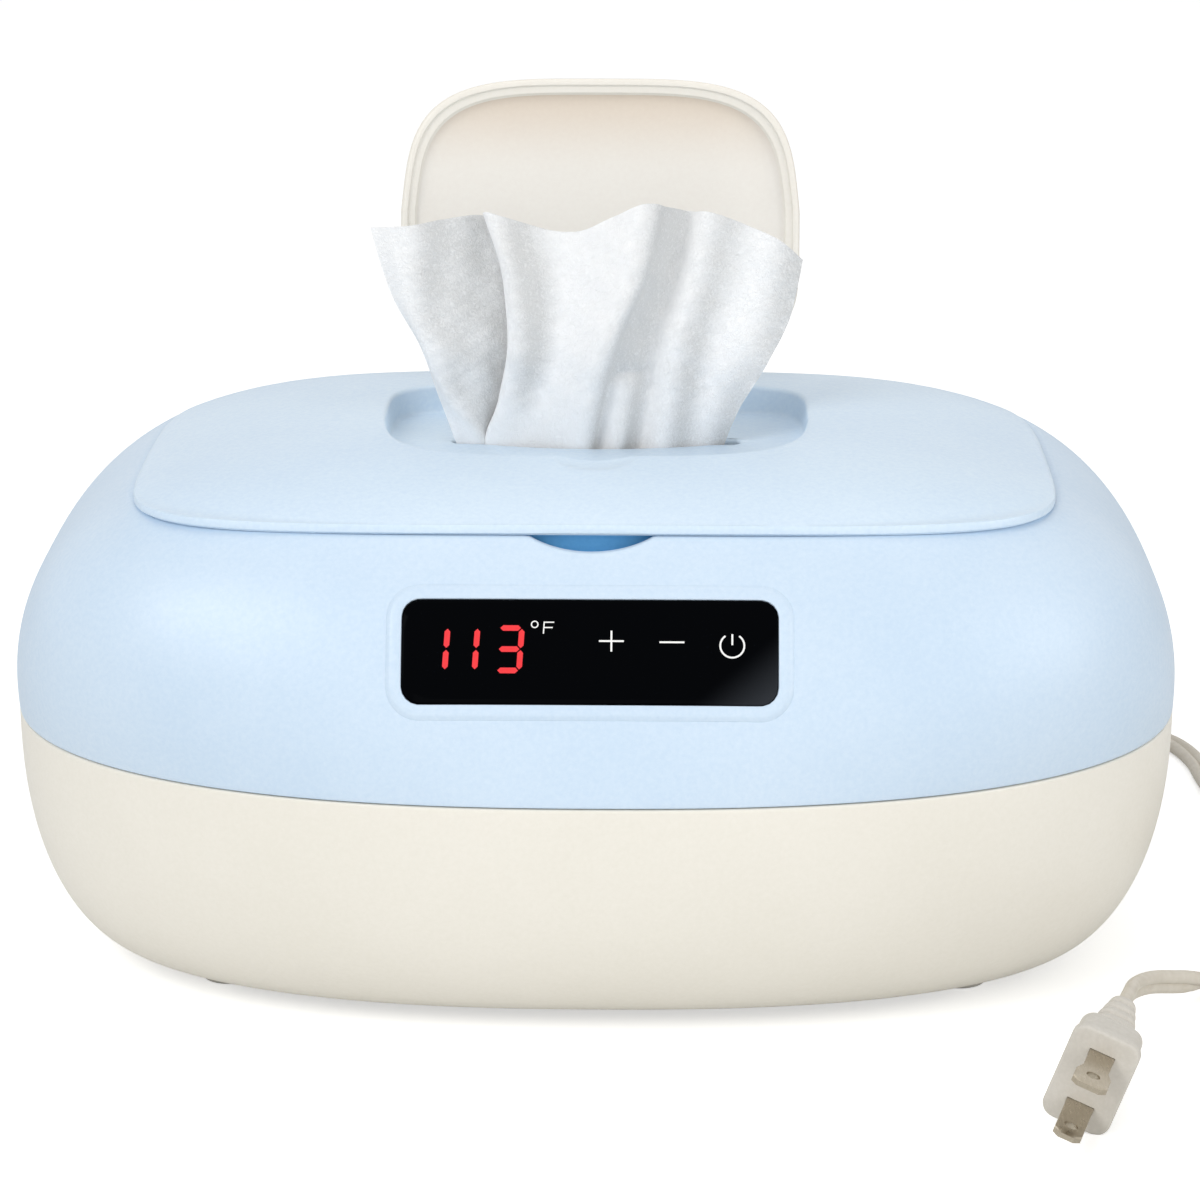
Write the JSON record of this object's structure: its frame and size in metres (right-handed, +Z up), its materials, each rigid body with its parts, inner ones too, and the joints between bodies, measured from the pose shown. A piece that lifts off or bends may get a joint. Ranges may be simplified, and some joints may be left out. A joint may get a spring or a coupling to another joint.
{
  "type": "baby wipe warmer",
  "caption": "Rounded wipe warmer with a domed main lid, a small flip lid over the dispensing slot, a touch display, a heated tub and a corded mains plug.",
  "frame": {"origin": "middle of the body's box on the surface it stands on, cord and plug left out", "axes": "+X across the front to the right, front facing -Y, +Z up"},
  "size_m": [0.3824, 0.2972, 0.1963],
  "materials": {
    "base_cream": "fine satin",
    "housing_blue": "satin",
    "lid_blue": "satin",
    "flip_cream": "satin",
    "liner_white": "satin",
    "tub_white": "satin",
    "foot_rubber": "matt",
    "screw_steel": "zinc plated",
    "plate_aluminium": "milled",
    "film_amber": "film",
    "pad_foam": "needled felt",
    "sensor_brass": "plain",
    "fuse_ceramic": "plain",
    "board_green": "solder resist",
    "part_black": "moulded",
    "lens_black": "polished",
    "ribbon_grey": "plain",
    "gasket_silicone": "soft",
    "pin_steel": "ground",
    "wipe_cloth": "moist nonwoven",
    "relief_vinyl": "satin",
    "cord_vinyl": "satin",
    "plug_vinyl": "satin",
    "blade_brass": "nickel plated, dull"
  },
  "bodies": {
    "base": {"base_housing": "base_cream", "feet": "foot_rubber", "housing_screws": "screw_steel", "upper_housing": "housing_blue", "inner_tub": "tub_white", "heat_plate": "plate_aluminium", "heater_film": "film_amber", "insulation_pad": "pad_foam", "thermal_sensor": "sensor_brass", "thermal_fuse": "fuse_ceramic", "control_board": "board_green", "board_parts": "part_black", "board_screws": "screw_steel", "display_lens": "lens_black", "display_board": "board_green", "digit_module": "part_black", "touch_springs": "sensor_brass", "display_ribbon": "ribbon_grey", "main_lid_pins": "pin_steel", "strain_relief": "relief_vinyl", "power_cord": "cord_vinyl", "plug_lead": "cord_vinyl", "cord_coil": "cord_vinyl", "plug_body": "plug_vinyl", "plug_blades": "blade_brass"},
    "main_lid": {"main_lid": "lid_blue", "main_lid_liner": "liner_white", "lid_gasket": "gasket_silicone", "flip_lid_pin": "pin_steel", "wipe": "wipe_cloth"},
    "flip_lid": {"flip_lid": "flip_cream"}
  },
  "joints": [
    {"name": "main_lid_hinge", "type": "hinge", "parent": "base", "child": "main_lid", "pos_m": [0, 0.08159, 0.1146], "axis": [-1, 0, 0], "range_deg": [0, 95]},
    {"name": "flip_lid_hinge", "type": "hinge", "parent": "main_lid", "child": "flip_lid", "pos_m": [0, 0.0483, 0.1238], "axis": [1, 0, 0], "range_deg": [0, 105], "deforming": ["wipe"]}
  ]
}
